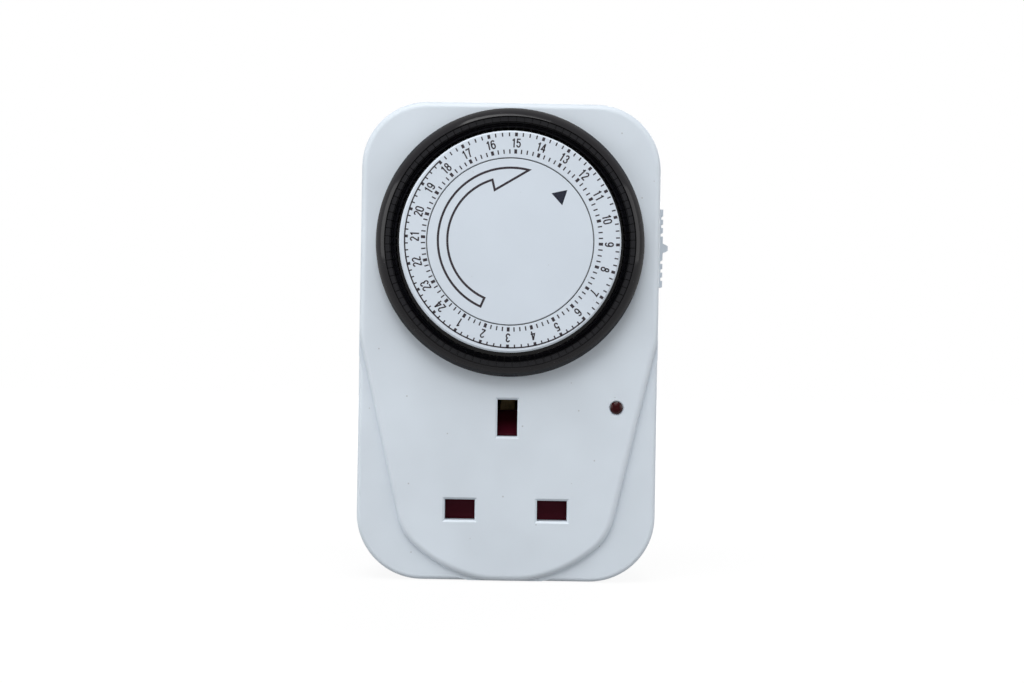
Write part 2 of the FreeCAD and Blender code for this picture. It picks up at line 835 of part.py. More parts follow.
def ring_gear(outer_radius, z0, z1):
    # Teeth that point inwards, with a gap between two teeth straight below the axis
    first = 180.0 + 180.0 / ring_teeth
    loop = tooth_loop(ring_pitch_radius, ring_teeth,
                      ring_pitch_radius - addendum_share * ring_module,
                      ring_root_radius, first, z0)
    blank = rod(outer_radius, z0, z1)
    return blank.cut(Part.Face(loop).extrude(V(0, 0, z1 - z0)))


def tappet_angles(hour):
    # Clockwise from the top. Hours run anticlockwise, so the quarters follow that way.
    start = hour_15_angle + (15 - hour) * hour_step
    return [start - tappet_step * (quarter + 0.5) for quarter in range(tappets_per_hour)]


def dial_rim():
    drum_outer = number_ring_outer - drum_groove_inset
    drum_inner = number_ring_inner + drum_groove_inset
    rim_top = front + rim_height
    slope_start = (rim_base_radius, front + rim_gap + rim_lip)
    points = [
        (bearing_radius + bearing_clearance, bearing_bottom),
        (bearing_radius + bearing_wall, bearing_bottom),
        (bearing_radius + bearing_wall, web_bottom),
        (skirt_inner_radius, web_bottom),
        (skirt_inner_radius, gear_top),
        (skirt_outer_radius, gear_top),
        (skirt_outer_radius, front + rim_gap),
        (rim_base_radius, front + rim_gap),
        slope_start,
        (rim_inner_radius + rim_top_width, rim_top),
        (rim_inner_radius, rim_top),
        (rim_inner_radius, web_top),
        (drum_outer, web_top),
        (drum_outer, ring_underside),
        (drum_outer - drum_wall, ring_underside),
        (drum_outer - drum_wall, web_top),
        (drum_inner + drum_wall, web_top),
        (drum_inner + drum_wall, ring_underside),
        (drum_inner, ring_underside),
        (drum_inner, web_top),
        (bearing_radius + bearing_wall, web_top),
        (bearing_radius + bearing_wall, bearing_top),
        (bearing_radius + bearing_clearance, bearing_top),
    ]
    body = rounded_section(points, slope_start, rim_bulge).revolve(V(0, 0, 0), V(0, 0, 1), 360)
    body = body.fuse(ring_gear(skirt_outer_radius, gear_bottom, gear_top)).removeSplitter()
    half = tappet_leg_width / 2 + slot_clearance
    slot = box(-half, half, tappet_inner_radius - slot_clearance,
               leg_outer_radius + slot_clearance, web_bottom - overshoot, web_top + overshoot)
    slots = [spun(slot, angle) for hour in range(1, hours + 1) for angle in tappet_angles(hour)]
    body = body.cut(Part.makeCompound(slots))
    body.translate(V(0, dial_axis_y, 0))
    return body


def tappet():
    # Drawn straight above the axis, as (y, z) sections
    land = front + tappet_land_height
    land_edge = tappet_outer_radius - tappet_land_width
    ridge = land - ridge_drop
    middle = (tappet_inner_radius + land_edge) / 2

    def half_at(radius):
        return radius * math.tan(math.radians(tappet_step / 2)) - tappet_gap / 2

    head = side_prism([
        (tappet_inner_radius, head_bottom), (tappet_inner_radius, ridge),
        (tappet_inner_radius + ridge_width, ridge - ridge_height),
        (middle, ridge), (middle + ridge_width, ridge - ridge_height),
        (land_edge, ridge - ridge_height), (land_edge, land),
        (tappet_outer_radius, land), (tappet_outer_radius, head_bottom),
    ], -half_at(tappet_outer_radius), half_at(tappet_outer_radius))
    near = tappet_inner_radius
    far = tappet_outer_radius
    head = head.common(prism([(-half_at(near), near), (half_at(near), near),
                              (half_at(far), far), (-half_at(far), far)], head_bottom, land))
    leg = side_prism([
        (tappet_inner_radius, head_bottom), (tappet_inner_radius, foot_bottom),
        (hook_radius, foot_bottom), (hook_radius, hook_top),
        (leg_outer_radius, hook_top), (leg_outer_radius, head_bottom),
    ], -tappet_leg_width / 2, tappet_leg_width / 2)
    return fused([head, leg])


def tappets_of(hour, one):
    pieces = []
    for angle in tappet_angles(hour):
        piece = spun(one, angle)
        piece.translate(V(0, dial_axis_y, 0))
        pieces.append(piece)
    return Part.makeCompound(pieces)


def number_ring():
    c = ring_edge_chamfer
    g = groove_chamfer
    floor = dial_face - groove_depth
    return turned([
        (ledge_radius, floor - ledge_thickness), (number_ring_inner, floor - ledge_thickness),
        (number_ring_inner, ring_underside), (number_ring_outer, ring_underside),
        (number_ring_outer, dial_face - c), (number_ring_outer - c, dial_face),
        (number_ring_inner + g, dial_face), (number_ring_inner, dial_face - g),
        (number_ring_inner, floor), (ledge_radius, floor),
    ], dial_axis_y)


def centre_disc():
    c = groove_chamfer
    seat = bearing_top + thrust_gap
    boss = bearing_radius + thrust_width
    return turned([
        (0.0, seat - disc_stem_length), (disc_stem_radius, seat - disc_stem_length),
        (disc_stem_radius, seat), (boss, seat), (boss, ring_underside),
        (ledge_radius - disc_groove, ring_underside), (ledge_radius - disc_groove, dial_face - disc_lip),
        (centre_disc_radius, dial_face - disc_lip), (centre_disc_radius, dial_face - c),
        (centre_disc_radius - c, dial_face), (0.0, dial_face),
    ], dial_axis_y)


def dial_hub():
    seat = bearing_top + thrust_gap
    shoulder = bearing_bottom - thrust_gap
    bore = disc_stem_radius + stem_clearance
    return turned([
        (bore, plate_top), (hub_foot_radius, plate_top),
        (hub_foot_radius, plate_top + hub_foot_height),
        (hub_waist_radius, plate_top + hub_foot_height),
        (hub_waist_radius, shoulder - hub_foot_height),
        (bearing_radius + thrust_width, shoulder - hub_foot_height),
        (bearing_radius + thrust_width, shoulder), (bearing_radius, shoulder),
        (bearing_radius, seat), (bore, seat),
    ], dial_axis_y)


def idler_gear():
    wheel = spur_gear(wheel_module, wheel_teeth, wheel_bottom, wheel_top, 0.0)
    pinion = spur_gear(ring_module, idler_pinion_teeth, wheel_top, gear_top - pinion_end_gap,
                       180.0)
    collar = rod(collar_radius, plate_top + thrust_gap, wheel_bottom)
    gear = fused([wheel, pinion, collar])
    gear = gear.cut(rod(arbor_radius + arbor_clearance, plate_top, gear_top))
    gear.translate(V(0, idler_y, 0))
    return gear


def idler_arbor():
    head = rod(arbor_head_radius, gear_top - thrust_gap, gear_top + 2 * thrust_gap, 0.0, idler_y)
    return fused([rod(arbor_radius, plate_bottom, gear_top - thrust_gap, 0.0, idler_y), head])


def motor_pinion():
    first = 180.0 + 180.0 / motor_pinion_teeth
    pinion = spur_gear(wheel_module, motor_pinion_teeth, wheel_bottom - thrust_gap,
                       wheel_top + thrust_gap, first)
    shaft = rod(motor_shaft_radius, plate_bottom - flange_thickness - thrust_gap,
                wheel_top + 2 * thrust_gap)
    gear = fused([pinion, shaft])
    gear.translate(V(0, motor_shaft_y, 0))
    return gear


def flange_screw_places():
    reach = (flange_radius + flange_ear_reach) / 2
    return [(-reach, motor_y), (reach, motor_y)]


def motor_can():
    # The can, its mounting flange with two ears, and the block where the leads come out
    low = plate_bottom - flange_thickness
    can = rod(motor_radius, motor_bottom, low, 0.0, motor_y)
    flange = rod(flange_radius, low, plate_bottom, 0.0, motor_y)
    ears = box(-flange_ear_reach, flange_ear_reach, motor_y - flange_ear_width / 2,
               motor_y + flange_ear_width / 2, low, plate_bottom)
    block_base = motor_y - motor_radius
    block = box(-lead_block_half, lead_block_half, block_base - lead_block_reach,
                block_base + lead_block_reach, carrier_top, carrier_top + lead_block_height)
    motor = fused([can, flange, ears, block])
    holes = [rod(motor_shaft_radius + arbor_clearance, low - 2 * thrust_gap, plate_bottom,
                 0.0, motor_shaft_y)]
    for x, y in flange_screw_places():
        holes.append(rod(plate_screw_radius + fit_gap, low, plate_bottom, x, y))
    return motor.cut(Part.makeCompound(holes))


def pan_screw(x, y, seat):
    # A small screw whose head sits under the level called seat
    head = rod(plate_screw_radius * 2, seat - plate_screw_radius, seat, x, y)
    return fused([head, rod(plate_screw_radius, seat, seat + plate_screw_length, x, y)])


def movement_screws():
    screws = [pan_screw(x, y, plate_bottom - flange_thickness)
              for x, y in flange_screw_places()]
    for side in (-1, 1):
        screws.append(pan_screw(side * plate_screw_x, plate_screw_y, plate_bottom))
    return Part.makeCompound(screws)


def movement_plate():
    plate = rounded_block(plate_half_width, plate_bottom_y, plate_top_y, plate_corner_radius,
                          plate_bottom, plate_top)
    offset = lever_width / 2 + ear_gap
    for side in (-1, 1):
        low = min(side * offset, side * (offset + ear_thickness))
        ear = box(low, low + ear_thickness, lever_pivot_radius - lever_boss_radius,
                  lever_pivot_radius + lever_boss_radius, plate_top - plate_thickness / 2,
                  pivot_level)
        crown = Part.makeCylinder(lever_boss_radius, ear_thickness,
                                  V(low, lever_pivot_radius, pivot_level), V(1, 0, 0))
        plate = plate.fuse(at_pointer(ear.fuse(crown)))
    reach = lever_width / 2 + ear_gap + ear_thickness + overshoot
    cuts = [at_pointer(Part.makeCylinder(pivot_radius + fit_gap, 2 * reach,
                                         V(-reach, lever_pivot_radius, pivot_level),
                                         V(1, 0, 0)))]
    cuts.append(at_pointer(box(-switch_length / 2 - fit_gap, switch_length / 2 + fit_gap,
                               switch_radius_from_axis - switch_width / 2 - fit_gap,
                               switch_radius_from_axis + switch_width / 2 + fit_gap,
                               plate_bottom, plate_top)))
    cuts.append(rod(arbor_radius + fit_gap, plate_bottom, plate_top, 0.0, idler_y))
    cuts.append(rod(motor_shaft_radius + arbor_clearance, plate_bottom, plate_top,
                    0.0, motor_shaft_y))
    for x, y in flange_screw_places():
        cuts.append(rod(plate_screw_radius + fit_gap, plate_bottom, plate_top, x, y))
    for side in (-1, 1):
        cuts.append(rod(plate_screw_radius + fit_gap, plate_bottom, plate_top,
                        side * plate_screw_x, plate_screw_y))
        cuts.append(rod(column_waist + fit_gap, plate_bottom, plate_top,
                        side * column_x, column_top_y))
    return plate.removeSplitter().cut(Part.makeCompound(cuts))


def switch_case():
    half_l = switch_length / 2
    half_w = switch_width / 2
    mid = switch_radius_from_axis
    case = box(-half_l, half_l, mid - half_w, mid + half_w, switch_bottom, switch_top)
    lip = box(-half_l - ear_thickness, half_l + ear_thickness, mid - half_w, mid + half_w,
              plate_top, plate_top + ear_thickness / 2)
    well = box(-plunger_length / 2 - plunger_clearance, plunger_length / 2 + plunger_clearance,
               mid - plunger_width / 2 - plunger_clearance,
               mid + plunger_width / 2 + plunger_clearance,
               switch_top - 3 * plunger_height, switch_top)
    return at_pointer(fused([case, lip]).cut(well))


def switch_plunger():
    mid = switch_radius_from_axis
    return at_pointer(box(-plunger_length / 2, plunger_length / 2, mid - plunger_width / 2,
                          mid + plunger_width / 2, switch_top - 2 * plunger_height,
                          switch_top + plunger_height))


def switch_terminals():
    mid = switch_radius_from_axis
    blades = []
    for side in (-1, 1):
        middle = side * terminal_spread
        blade = box(middle - terminal_thickness / 2, middle + terminal_thickness / 2,
                    mid - terminal_width / 2, mid + terminal_width / 2,
                    terminal_bottom, switch_bottom)
        blades.append(at_pointer(blade))
    return Part.makeCompound(blades)


def follower_lever():
    half = lever_width / 2
    arm = box(-half, half, lever_pivot_radius, lever_nose_radius, lever_bottom, lever_top)
    boss = Part.makeCylinder(lever_tail, lever_width,
                             V(-half, lever_pivot_radius, pivot_level), V(1, 0, 0))
    nose = box(-lever_nose_length / 2, lever_nose_length / 2,
               lever_nose_radius - lever_nose_width, lever_nose_radius,
               lever_top, lever_nose_top)
    hole = Part.makeCylinder(pivot_radius + pivot_clearance, lever_width,
                             V(-half, lever_pivot_radius, pivot_level), V(1, 0, 0))
    return at_pointer(fused([arm, boss, nose]).cut(hole))


def lever_pin():
    reach = lever_width / 2 + ear_gap + ear_thickness
    return at_pointer(Part.makeCylinder(pivot_radius, 2 * reach,
                                        V(-reach, lever_pivot_radius, pivot_level),
                                        V(1, 0, 0)))


def shutter():
    bar_half = line_x + line_slot_width / 2 + shutter_overlap
    bar_rise = line_slot_height / 2 + shutter_overlap
    stem_half = earth_slot_width / 2 + shutter_stem_margin
    bar = box(-bar_half, bar_half, -bar_rise, bar_rise, shutter_bottom, shutter_top)
    lean = (ramp_top_y - ramp_foot_y) / math.hypot(ramp_top_y - ramp_foot_y, ramp_drop)
    back = shutter_thickness * (1 - lean) / math.sqrt(1 - lean * lean)
    deep = shutter_thickness / lean
    stem = side_prism([
        (bar_rise, shutter_bottom), (ramp_foot_y - back, shutter_bottom),
        (ramp_top_y, shutter_top - ramp_drop - deep), (ramp_top_y, shutter_top - ramp_drop),
        (ramp_foot_y, shutter_top), (bar_rise, shutter_top),
    ], -stem_half, stem_half)
    return fused([bar, stem])


def shutter_spring():
    # A loose coil of square wire between the case's lower wall and the shutter's bar
    low = bottom_y + wall + spring_seat_gap
    high = -(line_slot_height / 2 + shutter_overlap) - spring_seat_gap
    steps = spring_sides * spring_turns
    rise = (high - low - 2 * spring_wire) / steps
    points = []
    for index in range(steps + 1):
        angle = 2 * math.pi * index / spring_sides
        points.append(V(spring_radius * math.cos(angle), low + spring_wire + rise * index,
                        spring_level + spring_radius * math.sin(angle)))
    start = points[0]
    w = spring_wire / 2
    section = Part.makePolygon([start + V(-w, -w, 0), start + V(w, -w, 0), start + V(w, w, 0),
                                start + V(-w, w, 0), start + V(-w, -w, 0)])
    path = Part.makePolygon(points)
    return path.makePipeShell([section], True, False, 1)


def override_slider():
    inner = half_width + slider_wall_gap
    face = inner + slider_thickness
    half = slider_length / 2
    block = slider_block / 2
    groove = block + slider_gap_length
    nub = slider_nub / 2
    outline = [(inner, -half), (face, -half), (face, -groove), (face - slider_gap_depth, -groove),
               (face - slider_gap_depth, -block), (face, -block), (face, -nub),
               (face + slider_nub_height, -nub / 2), (face + slider_nub_height, nub / 2),
               (face, nub), (face, block), (face - slider_gap_depth, block),
               (face - slider_gap_depth, groove), (face, groove), (face, half), (inner, half)]
    plate = prism(outline, slider_level - slider_width / 2, slider_level + slider_width / 2)
    stem = box(inner_half_width - slider_wall_gap, inner,
               -slider_stem_length / 2, slider_stem_length / 2,
               slider_level - slider_stem_width / 2, slider_level + slider_stem_width / 2)
    foot = box(inner_half_width - slider_wall_gap - slider_foot_thickness,
               inner_half_width - slider_wall_gap,
               -slider_foot_length / 2, slider_foot_length / 2,
               slider_level - slider_foot_width / 2, slider_level + slider_foot_width / 2)
    marks = []
    top = slider_level + slider_width / 2
    for side in (-1, 1):
        for index in range(2):
            middle = side * (half - serration_pitch * (index + 1))
            marks.append(box(face - serration_depth, face,
                             middle - serration_width / 2, middle + serration_width / 2,
                             slider_level - slider_width / 2, top))
    slider = fused([plate, stem, foot]).cut(Part.makeCompound(marks))
    slider.translate(V(0, slider_centre_y, 0))
    return slider


def bridge_contact():
    outer = inner_half_width - slider_wall_gap - slider_foot_thickness
    return box(outer - bridge_thickness, outer, slider_centre_y - bridge_width / 2,
               slider_centre_y + bridge_width / 2, slider_level - slider_foot_width / 2,
               slider_level + slider_foot_width / 2)


def indicator_lens():
    seat = ceiling
    points = [(0.0, seat - lens_flange_thickness), (lens_flange_radius, seat - lens_flange_thickness),
              (lens_flange_radius, seat), (lens_radius, seat), (lens_radius, front)]
    stem = turned(points + [(0.0, front)])
    sphere_radius = (lens_radius ** 2 + lens_proud ** 2) / (2 * lens_proud)
    ball = Part.makeSphere(sphere_radius, V(0, 0, front + lens_proud - sphere_radius))
    dome = ball.common(rod(lens_radius, front, front + lens_proud))
    lens = fused([stem, dome])
    lens.translate(V(lamp_x, lamp_y, 0))
    return lens


def neon_lamp():
    top = ceiling - lens_flange_thickness
    bulb = rod(neon_radius, top - neon_length, top, lamp_x, lamp_y)
    return bulb.makeFillet(neon_rounding, edges_at(bulb, top))


def lamp_resistor():
    return rod(resistor_radius, resistor_level, resistor_level + resistor_length,
               lamp_x + neon_radius / 2, lamp_y)


def bent_wire(points, radius):
    # Straight runs along the axes with square elbows
    corners = [V(*point) for point in points]
    path = Part.makePolygon(corners)
    section = Part.Wire(Part.makeCircle(radius, corners[0], corners[1] - corners[0]))
    return path.makePipeShell([section], True, False, 1)


def lamp_leads():
    neon_base = ceiling - lens_flange_thickness - neon_length
    near_x = lamp_x + neon_radius / 2
    far_x = lamp_x - neon_radius / 2
    strip_level = carrier_top + contact_thickness
    cross_level = neon_base - lead_drop
    over_y = carrier_end_y + 2 * wire_radius
    return Part.makeCompound([
        bent_wire([(near_x, lamp_y, neon_base),
                   (near_x, lamp_y, resistor_level + resistor_length)], lead_radius),
        bent_wire([(near_x, lamp_y, resistor_level), (near_x, lamp_y, strip_level),
                   (strip_x, lamp_y, strip_level)], lead_radius),
        bent_wire([(far_x, lamp_y, neon_base), (far_x, lamp_y, cross_level),
                   (far_x, over_y, cross_level), (-neutral_strip_x, over_y, cross_level),
                   (-neutral_strip_x, over_y, strip_level)], lead_radius),
    ])


def motor_leads():
    # Neutral to the left strip, live down to the bar that comes from the line pin
    start_y = motor_y - motor_radius - lead_block_reach
    cross_y = neutral_strip_end - 2 * wire_radius
    level = carrier_top + contact_thickness + wire_radius
    live_x = branch_x + bar_width
    return Part.makeCompound([
        bent_wire([(-lead_spread, start_y, level), (-lead_spread, cross_y, level),
                   (-neutral_strip_x, cross_y, level)], wire_radius),
        bent_wire([(lead_spread, start_y, level), (lead_spread, cross_y, level),
                   (live_x, cross_y, level), (live_x, cross_y, bar_level + bar_thickness)],
                  wire_radius),
    ])


def build():
    os.makedirs("parts", exist_ok=True)
    pins = pin_places()
    finish("front_cover", front_cover())
    finish("rear_cover", rear_cover())
    finish("case_screws", case_screws())
    finish("line_pin", pin_solid(*pins["line"], line_pin_length, bar_level, True))
    finish("neutral_pin", pin_solid(*pins["neutral"], line_pin_length, carrier_top, True))
    finish("earth_pin", pin_solid(*pins["earth"], earth_pin_length, carrier_top, False))
    finish("pin_sleeves", pin_sleeves())
    finish("contact_carrier", contact_carrier())
    finish("line_contact", line_contact())
    finish("neutral_contact", neutral_contact())
    finish("earth_contact", earth_contact())
    finish("live_bar", live_bar())
    finish("shutter", shutter())
    finish("shutter_spring", shutter_spring())
    finish("movement_plate", movement_plate())
    finish("movement_screws", movement_screws())
    finish("motor_can", motor_can())
    finish("motor_pinion", motor_pinion())
    finish("idler_gear", idler_gear())
    finish("idler_arbor", idler_arbor())
    finish("dial_hub", dial_hub())
    finish("centre_disc", centre_disc())
    finish("number_ring", number_ring())
    finish("dial_rim", dial_rim())
    one = tappet()
    for hour in range(1, hours + 1):
        finish("tappets_hour_%02d" % hour, tappets_of(hour, one))
    finish("switch_case", switch_case())
    finish("switch_plunger", switch_plunger())
    finish("switch_terminals", switch_terminals())
    finish("follower_lever", follower_lever())
    finish("lever_pin", lever_pin())
    finish("override_slider", override_slider())
    finish("bridge_contact", bridge_contact())
    finish("indicator_lens", indicator_lens())
    finish("neon_lamp", neon_lamp())
    finish("lamp_resistor", lamp_resistor())
    finish("lamp_leads", lamp_leads())
    finish("motor_leads", motor_leads())


if __name__ == "__main__":
    build()
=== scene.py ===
# %% [markdown]
# # A plug-in mechanical timer, dressed in Blender
# The timer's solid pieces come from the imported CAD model. This lesson gives every piece
# its finish, winds the one spring that has to shorten, prints the dial, and sets up the
# camera and the light. All lengths are in metres and all places are in the CAD model's
# own frame: x to the right, z up, and the dial faces towards -y.

# %% Load the frame
import math

import bmesh
import bpy
from mathutils import Matrix, Vector


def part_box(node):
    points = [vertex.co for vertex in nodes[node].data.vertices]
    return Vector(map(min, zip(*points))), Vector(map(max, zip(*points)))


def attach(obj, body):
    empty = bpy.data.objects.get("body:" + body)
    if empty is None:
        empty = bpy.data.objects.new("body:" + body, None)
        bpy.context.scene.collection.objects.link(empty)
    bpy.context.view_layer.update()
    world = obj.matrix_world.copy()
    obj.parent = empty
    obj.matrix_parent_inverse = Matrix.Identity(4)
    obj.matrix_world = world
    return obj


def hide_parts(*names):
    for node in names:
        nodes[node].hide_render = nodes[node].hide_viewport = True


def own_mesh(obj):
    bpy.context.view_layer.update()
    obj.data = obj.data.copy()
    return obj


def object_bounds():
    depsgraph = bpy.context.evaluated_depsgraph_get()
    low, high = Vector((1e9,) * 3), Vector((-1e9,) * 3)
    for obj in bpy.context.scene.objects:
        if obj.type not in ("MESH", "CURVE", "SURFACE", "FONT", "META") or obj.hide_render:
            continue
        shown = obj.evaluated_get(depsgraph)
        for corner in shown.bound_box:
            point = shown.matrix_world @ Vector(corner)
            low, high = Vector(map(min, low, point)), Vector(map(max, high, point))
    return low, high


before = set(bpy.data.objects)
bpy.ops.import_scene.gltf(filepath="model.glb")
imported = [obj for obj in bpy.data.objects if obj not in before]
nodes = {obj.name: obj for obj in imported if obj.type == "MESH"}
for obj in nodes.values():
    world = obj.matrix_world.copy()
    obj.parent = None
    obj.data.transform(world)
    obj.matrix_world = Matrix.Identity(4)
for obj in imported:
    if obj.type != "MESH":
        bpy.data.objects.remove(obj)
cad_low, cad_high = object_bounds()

MM = 0.001
MICRON = 0.001 * MM
print("pieces in the frame:", len(nodes))
print("size in mm:", [round((h - l) / MM, 1) for l, h in zip(cad_low, cad_high)])

# %% [markdown]
# ## Sums with sockets
# A finish is a graph of nodes, and its sums are Math nodes. Wiring those by hand takes many
# lines, so one small class wraps a socket and lets Python's own signs add them. A number
# may stand on either side of the sign: `1 - mask`, `dust * 0.3`.

# %% A socket that can be added and multiplied
class Flow:
    def __init__(self, graph, socket):
        self.graph = graph
        self.socket = socket

    def math(self, operation, first, second):
        settings = {"operation": operation}
        return self.graph.node("ShaderNodeMath", settings, {0: first, 1: second})

    def __add__(self, other):
        return self.math("ADD", self, other)

    def __sub__(self, other):
        return self.math("SUBTRACT", self, other)

    def __rsub__(self, other):
        return self.math("SUBTRACT", other, self)

    def __mul__(self, other):
        return self.math("MULTIPLY", self, other)

    __radd__ = __add__
    __rmul__ = __mul__

    def larger(self, other):
        return self.math("MAXIMUM", self, other)

    def between(self, low, high):
        # Goes from 0 at low to 1 at high, and stays there
        inputs = {0: self, 1: low, 2: high}
        return self.graph.node("ShaderNodeMapRange", {"clamp": True}, inputs)


print("sums with sockets are ready")

# %% [markdown]
# ## Graphs of nodes
# One method adds every other node. It takes the node's type, then its settings, because
# some of them change which sockets there are, and then the values or links of its sockets.
# Materials and the world are both graphs, so they share this class.

# %% A graph that nodes are added to
class Graph:
    def __init__(self, tree):
        self.tree = tree

    def node(self, kind, settings, inputs, output=0):
        made = self.tree.nodes.new(kind)
        for key, value in settings.items():
            setattr(made, key, value)
        self.feed(made, inputs)
        return Flow(self, made.outputs[output])

    def feed(self, made, inputs):
        for key, value in inputs.items():
            socket = made.inputs[key]
            if isinstance(value, Flow):
                self.tree.links.new(value.socket, socket)
            elif socket.type == "RGBA":
                socket.default_value = (*value, 1.0)
            else:
                socket.default_value = value


print("graphs are ready")

# %% [markdown]
# ## Finishes
# A finish is a material's graph around Blender's usual shader. Its patterns are noise in
# the object's own coordinates, so they stay on a piece when it moves, and each noise is
# given by its size on the real object, in metres.

# %% A finish and its patterns
class Finish(Graph):
    def __init__(self, name):
        self.material = bpy.data.materials.new(name)
        self.material.use_nodes = True
        super().__init__(self.material.node_tree)
        self.shader = self.tree.nodes["Principled BSDF"]

    def surface(self, **inputs):
        self.feed(self.shader, {key.replace("_", " "): value for key, value in inputs.items()})
        return self.material

    def place(self):
        return self.node("ShaderNodeTexCoord", {}, {}, "Object")

    def drawn_out(self, scale):
        # Draws a pattern out along an axis whose scale is small, and shortens a large one
        return self.node("ShaderNodeMapping", {}, {"Vector": self.place(), "Scale": scale})

    def noise(self, size, detail=3.0, roughness=0.55, where=None):
        inputs = {"Vector": where or self.place(), "Scale": 1.0 / size,
                  "Detail": detail, "Roughness": roughness}
        return self.node("ShaderNodeTexNoise", {}, inputs)

    def mix(self, share, first, second):
        # A Mix node's colours are its inputs 6 and 7, and its output 2
        inputs = {0: share, 6: first, 7: second}
        return self.node("ShaderNodeMix", {"data_type": "RGBA"}, inputs, 2)

    def bump(self, height, depth, strength=1.0):
        inputs = {"Height": height, "Distance": depth, "Strength": strength}
        return self.node("ShaderNodeBump", {}, inputs)


def shade(colour, factor):
    return tuple(channel * factor for channel in colour)


print("finishes are ready")

# %% [markdown]
# ## Moulded plastics
# Moulded plastic is never one flat colour. The mould's spark-eroded skin breaks up the
# shine with a very fine grain, the pigment is a little cloudy, and handling leaves dull
# and shiny patches. So each plastic here has three layers of noise: a fine one for the
# grain that goes into the bump, a middle one for the roughness, and a slow one for colour.
# The pale pieces also carry a few specks of dust, which are the middles of sparse cells.

# %% Plastic finishes
grain_size = 0.35 * MM
patch_size = 5 * MM
cloud_size = 18 * MM
patch_swing = 0.12
noise_middle = 0.5
noise_span = (0.3, 0.7)
speck_spacing = 4.8 * MM
speck_edge = (0.05, 0.03)
speck_colour = (0.20, 0.19, 0.18)


def plastic(name, colour, roughness, depth=6 * MICRON, cloud=0.04, shine=0.5, specks=0.0):
    finish = Finish(name)
    slow = finish.noise(cloud_size, detail=2.0)
    patch = finish.noise(patch_size, detail=4.0)
    grain = finish.noise(grain_size, detail=2.0)
    darker, lighter = shade(colour, 1 - cloud), shade(colour, 1 + cloud)
    tint = finish.mix(slow.between(*noise_span), darker, lighter)
    if specks:
        inputs = {"Vector": finish.place(), "Scale": 1 / speck_spacing}
        spot = finish.node("ShaderNodeTexVoronoi", {}, inputs).between(*speck_edge)
        tint = finish.mix(spot * specks, tint, speck_colour)
    rough = (patch - noise_middle) * patch_swing + roughness
    return finish.surface(Base_Color=tint, Roughness=rough, Specular_IOR_Level=shine,
                          Normal=finish.bump(grain, depth))


casing = plastic("casing_plastic", (0.600, 0.660, 0.722), roughness=0.46, specks=0.45)
disc_white = plastic("printed_disc_plastic", (0.588, 0.650, 0.722), roughness=0.42,
                     depth=3 * MICRON, cloud=0.02, specks=0.2)
charcoal = plastic("tappet_plastic", (0.0062, 0.0062, 0.0082), roughness=0.36,
                   cloud=0.15, shine=0.18)
natural = plastic("natural_plastic", (0.66, 0.65, 0.60), roughness=0.5,
                  depth=8 * MICRON, cloud=0.05)
acetal = plastic("acetal_gears", (0.72, 0.71, 0.66), roughness=0.38,
                 depth=4 * MICRON, cloud=0.03)
maroon = plastic("shutter_plastic", (0.060, 0.004, 0.011), roughness=0.45,
                 depth=4 * MICRON, cloud=0.12, shine=0.07)
phenolic = plastic("switch_phenolic", (0.012, 0.011, 0.012), roughness=0.5,
                   depth=10 * MICRON, cloud=0.2, shine=0.3)
sleeve = plastic("pin_sleeve_plastic", (0.018, 0.018, 0.020), roughness=0.42, cloud=0.12)
insulation = plastic("lead_insulation", (0.03, 0.07, 0.28), roughness=0.45, cloud=0.08)
print("plastics are ready, materials so far:", len(bpy.data.materials))

# %% [markdown]
# ## The glossy black rim
# The rim is polished black plastic that hands turn every day. It has a clear shine with
# faint smears, and a scatter of fine dust that shows grey against the black. The smears
# are noise in the roughness, pressed flat along z, and the dust is the top of a fine noise.

# %% Black rim finish
black_colour = (0.0065, 0.0060, 0.0080)
dust_colour = (0.10, 0.10, 0.11)
dust_cover = 0.5
dust_dullness = 0.3
dust_size = 0.45 * MM
dust_edge = (0.70, 0.78)
smear_size = 6 * MM
smear_axes = (1.0, 1.0, 3.0)
smear_span = (0.35, 0.75)
smear_swing = 0.10
polish = 0.08

rim = Finish("rim_gloss_black")
smear = rim.noise(smear_size, detail=5.0, roughness=0.6, where=rim.drawn_out(smear_axes))
dust = rim.noise(dust_size, detail=2.0, roughness=0.5).between(*dust_edge)
rim_black = rim.surface(
    Base_Color=rim.mix(dust * dust_cover, black_colour, dust_colour),
    Roughness=smear.between(*smear_span) * smear_swing + dust * dust_dullness + polish,
    Specular_IOR_Level=0.2, Normal=rim.bump(smear, depth=20 * MICRON, strength=0.3))
print("rim finish made")

# %% [markdown]
# ## Metals
# The brass pins are drawn bar, so their fine lines run along the pin, out of the wall.
# Brass also tarnishes in soft brown patches. The steel pieces are plated or drawn, and
# their patches are greyer. One function makes them all, and its axes say which way the
# lines run.

# %% Metal finishes
line_size = 0.18 * MM
line_depth = 4 * MICRON
line_swing = 0.10
tarnish_size = 4 * MM
tarnish_span = (0.42, 0.68)
wear_span = (0.35, 0.75)
wear_swing = 0.18
along_x = (0.08, 1.0, 1.0)
along_y = (1.0, 0.06, 1.0)
along_z = (1.0, 1.0, 0.08)
all_ways = (1.0, 1.0, 1.0)


def metal(name, bright, dull, roughness, lines=along_y):
    finish = Finish(name)
    line = finish.noise(line_size, roughness=0.6, where=finish.drawn_out(lines))
    patch = finish.noise(tarnish_size, detail=4.0, roughness=0.6)
    tint = finish.mix(patch.between(*tarnish_span), bright, dull)
    rough = patch.between(*wear_span) * wear_swing + line * line_swing + roughness
    return finish.surface(Base_Color=tint, Metallic=1.0, Roughness=rough,
                          Normal=finish.bump(line, line_depth))


